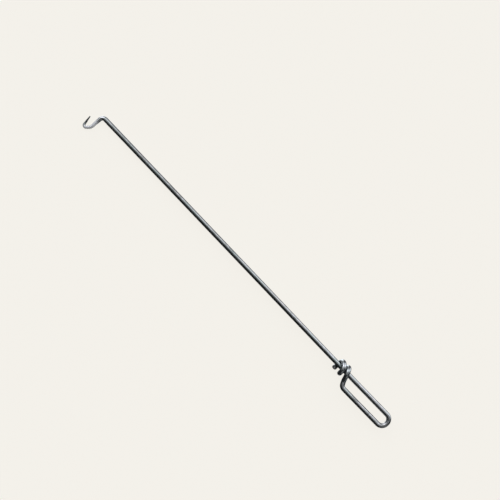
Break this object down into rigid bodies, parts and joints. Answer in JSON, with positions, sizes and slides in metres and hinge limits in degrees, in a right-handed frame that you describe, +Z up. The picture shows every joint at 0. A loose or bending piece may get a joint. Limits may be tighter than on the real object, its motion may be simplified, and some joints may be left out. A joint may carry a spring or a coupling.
{
  "type": "wire hook tool",
  "caption": "Hand tool bent from one steel wire: a small tapered hook, a long straight shaft and a narrow loop handle closed by a wrap round the shaft.",
  "frame": {"origin": "centre of the tool's bounding box, on the surface it lies on", "axes": "+X along the shaft toward the hook, +Y toward the side that the hook's bend and the loop stand on, +Z up from the surface; the tool lies on its wrap, its neck and the hook's bend, so its flat is tilted 0.9 degrees down toward the hook and rolled 2.3 degrees toward +Y"},
  "size_m": [0.2286, 0.0154, 0.0083],
  "materials": {
    "steel_wire": "bright drawn wire"
  },
  "bodies": {
    "root": {"shaft": "steel_wire", "neck_bend": "steel_wire", "hook_arm": "steel_wire", "hook_bend": "steel_wire", "hook_point": "steel_wire", "inner_rail": "steel_wire", "loop_end": "steel_wire", "outer_rail": "steel_wire", "heel_bend": "steel_wire", "heel_leg": "steel_wire", "first_turn": "steel_wire", "second_turn": "steel_wire", "cut_end": "steel_wire"}
  },
  "joints": []
}
